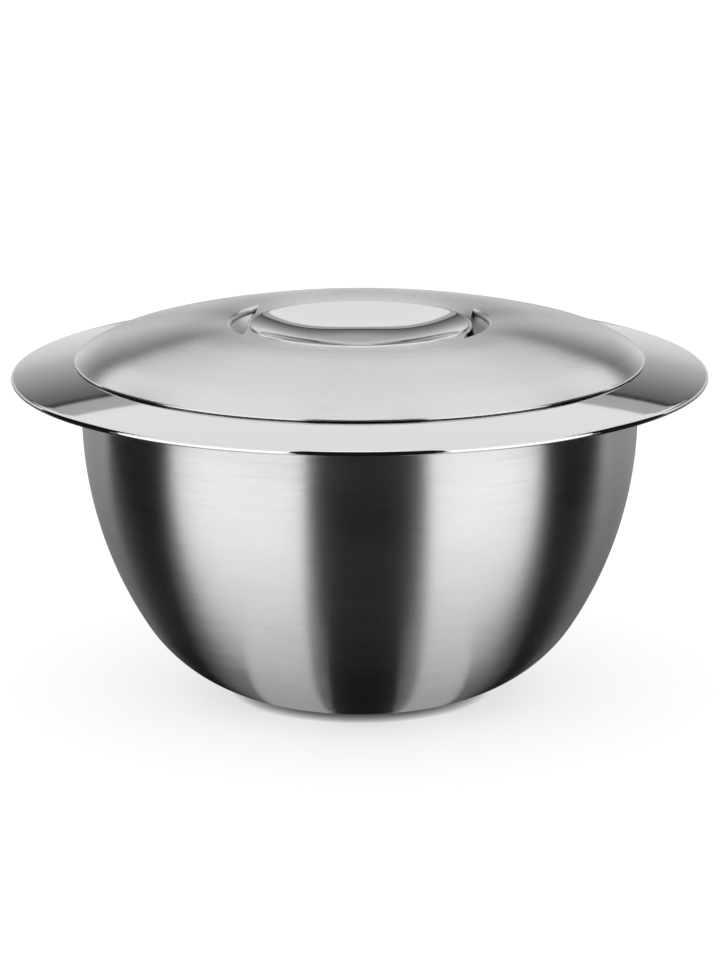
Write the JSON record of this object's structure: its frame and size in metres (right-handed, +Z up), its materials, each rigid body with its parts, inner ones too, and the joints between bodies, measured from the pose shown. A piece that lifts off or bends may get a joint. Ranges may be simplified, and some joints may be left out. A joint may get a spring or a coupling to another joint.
{
  "type": "insulated bowl",
  "caption": "Round double-walled steel bowl with a wide, sloping polished brim and a brushed, domed lift-off lid, gripped by a polished dish between crescent finger slots.",
  "frame": {"origin": "centre of the foot ring, on the surface that the bowl stands on", "axes": "+Z up along the bowl's axis; -Y towards the viewer of the picture and +X to the viewer's right, with the grip's tongues along Y and its finger slots at +X and -X"},
  "size_m": [0.3, 0.3, 0.1631],
  "materials": {
    "brushed_steel": "stainless steel, brushed in circles about the bowl's axis",
    "polished_steel": "stainless steel, mirror polished",
    "foam": "rigid polyurethane foam, matt",
    "silicone": "moulded silicone, satin"
  },
  "bodies": {
    "bowl": {"outer_shell": "brushed_steel", "inner_bowl": "polished_steel", "bowl_insulation": "foam", "base_plate": "brushed_steel", "shell_gasket": "silicone"},
    "lid": {"lid_dome": "brushed_steel", "grip_dish": "polished_steel", "grip_well": "polished_steel", "lid_liner": "polished_steel", "lid_insulation": "foam", "lid_seal": "silicone"}
  },
  "joints": [
    {"name": "lid_lift", "type": "slide", "parent": "bowl", "child": "lid", "axis": [0, 0, 1], "range_m": [0, 0.09]}
  ]
}
